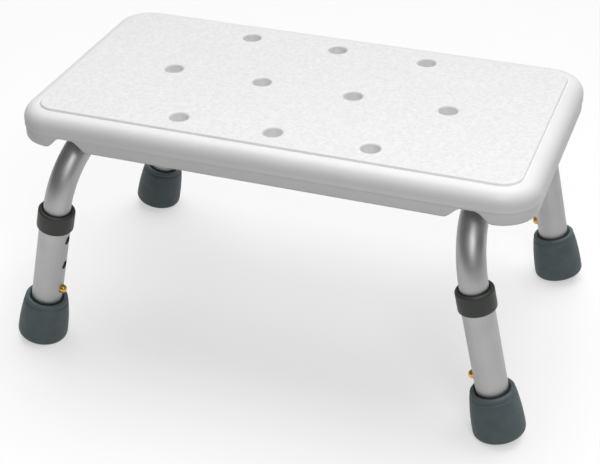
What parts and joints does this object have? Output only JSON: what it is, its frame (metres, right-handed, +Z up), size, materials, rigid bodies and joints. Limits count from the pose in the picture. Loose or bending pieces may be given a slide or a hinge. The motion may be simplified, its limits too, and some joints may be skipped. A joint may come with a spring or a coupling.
{
  "type": "shower stool",
  "caption": "Low rectangular shower stool: moulded seat with drain holes on bent tube frames, with telescopic legs, snap-button height setting and rubber tips.",
  "frame": {"origin": "on the floor under the middle of the seat, legs at their shortest setting", "axes": "+X along the seat's length, -Y to the front edge, +Z up"},
  "size_m": [0.4384, 0.2778, 0.21],
  "materials": {
    "seat_polyethylene": "moulded, fine pebble on the panel and smooth on the border",
    "anodised_aluminium": "satin anodised tube",
    "collar_plastic": "moulded, semi-matte, dark grey-green",
    "grey_rubber": "moulded slate-grey rubber, semi-matte",
    "brass": "bright",
    "spring_steel": "plain strip",
    "dark_nylon": "moulded, matte",
    "zinc_steel": "zinc plated"
  },
  "bodies": {
    "seat_and_frames": {"seat_shell": "seat_polyethylene", "left_leg_frame": "anodised_aluminium", "right_leg_frame": "anodised_aluminium", "front_left_saddle": "dark_nylon", "front_left_cap_washer": "dark_nylon", "front_left_threaded_insert": "brass", "front_left_seat_screw": "zinc_steel", "front_left_button_spring": "spring_steel", "front_right_saddle": "dark_nylon", "front_right_cap_washer": "dark_nylon", "front_right_threaded_insert": "brass", "front_right_seat_screw": "zinc_steel", "front_right_button_spring": "spring_steel", "back_left_saddle": "dark_nylon", "back_left_cap_washer": "dark_nylon", "back_left_threaded_insert": "brass", "back_left_seat_screw": "zinc_steel", "back_left_button_spring": "spring_steel", "back_right_saddle": "dark_nylon", "back_right_cap_washer": "dark_nylon", "back_right_threaded_insert": "brass", "back_right_seat_screw": "zinc_steel", "back_right_button_spring": "spring_steel"},
    "front_left_leg": {"front_left_lower_leg": "anodised_aluminium", "front_left_collar": "collar_plastic", "front_left_rubber_tip": "grey_rubber", "front_left_tip_washer": "zinc_steel"},
    "front_left_button": {"front_left_snap_button": "brass"},
    "front_right_leg": {"front_right_lower_leg": "anodised_aluminium", "front_right_collar": "collar_plastic", "front_right_rubber_tip": "grey_rubber", "front_right_tip_washer": "zinc_steel"},
    "front_right_button": {"front_right_snap_button": "brass"},
    "back_left_leg": {"back_left_lower_leg": "anodised_aluminium", "back_left_collar": "collar_plastic", "back_left_rubber_tip": "grey_rubber", "back_left_tip_washer": "zinc_steel"},
    "back_left_button": {"back_left_snap_button": "brass"},
    "back_right_leg": {"back_right_lower_leg": "anodised_aluminium", "back_right_collar": "collar_plastic", "back_right_rubber_tip": "grey_rubber", "back_right_tip_washer": "zinc_steel"},
    "back_right_button": {"back_right_snap_button": "brass"}
  },
  "joints": [
    {"name": "front_left_height", "type": "slide", "parent": "seat_and_frames", "child": "front_left_leg", "axis": [-0.213, 0, -0.977], "range_m": [0, 0.0508], "deforming": ["front_left_snap_button"]},
    {"name": "front_left_button_press", "type": "slide", "parent": "seat_and_frames", "child": "front_left_button", "axis": [-0.977, 0, 0.213], "range_m": [0, 0.0045], "stiffness_N_per_m": 1500, "springref_m": -0.002, "deforming": ["front_left_button_spring"]},
    {"name": "front_right_height", "type": "slide", "parent": "seat_and_frames", "child": "front_right_leg", "axis": [0.213, 0, -0.977], "range_m": [0, 0.0508], "deforming": ["front_right_snap_button"]},
    {"name": "front_right_button_press", "type": "slide", "parent": "seat_and_frames", "child": "front_right_button", "axis": [0.977, 0, 0.213], "range_m": [0, 0.0045], "stiffness_N_per_m": 1500, "springref_m": -0.002, "deforming": ["front_right_button_spring"]},
    {"name": "back_left_height", "type": "slide", "parent": "seat_and_frames", "child": "back_left_leg", "axis": [-0.213, 0, -0.977], "range_m": [0, 0.0508], "deforming": ["back_left_snap_button"]},
    {"name": "back_left_button_press", "type": "slide", "parent": "seat_and_frames", "child": "back_left_button", "axis": [-0.977, 0, 0.213], "range_m": [0, 0.0045], "stiffness_N_per_m": 1500, "springref_m": -0.002, "deforming": ["back_left_button_spring"]},
    {"name": "back_right_height", "type": "slide", "parent": "seat_and_frames", "child": "back_right_leg", "axis": [0.213, 0, -0.977], "range_m": [0, 0.0508], "deforming": ["back_right_snap_button"]},
    {"name": "back_right_button_press", "type": "slide", "parent": "seat_and_frames", "child": "back_right_button", "axis": [0.977, 0, 0.213], "range_m": [0, 0.0045], "stiffness_N_per_m": 1500, "springref_m": -0.002, "deforming": ["back_right_button_spring"]}
  ]
}
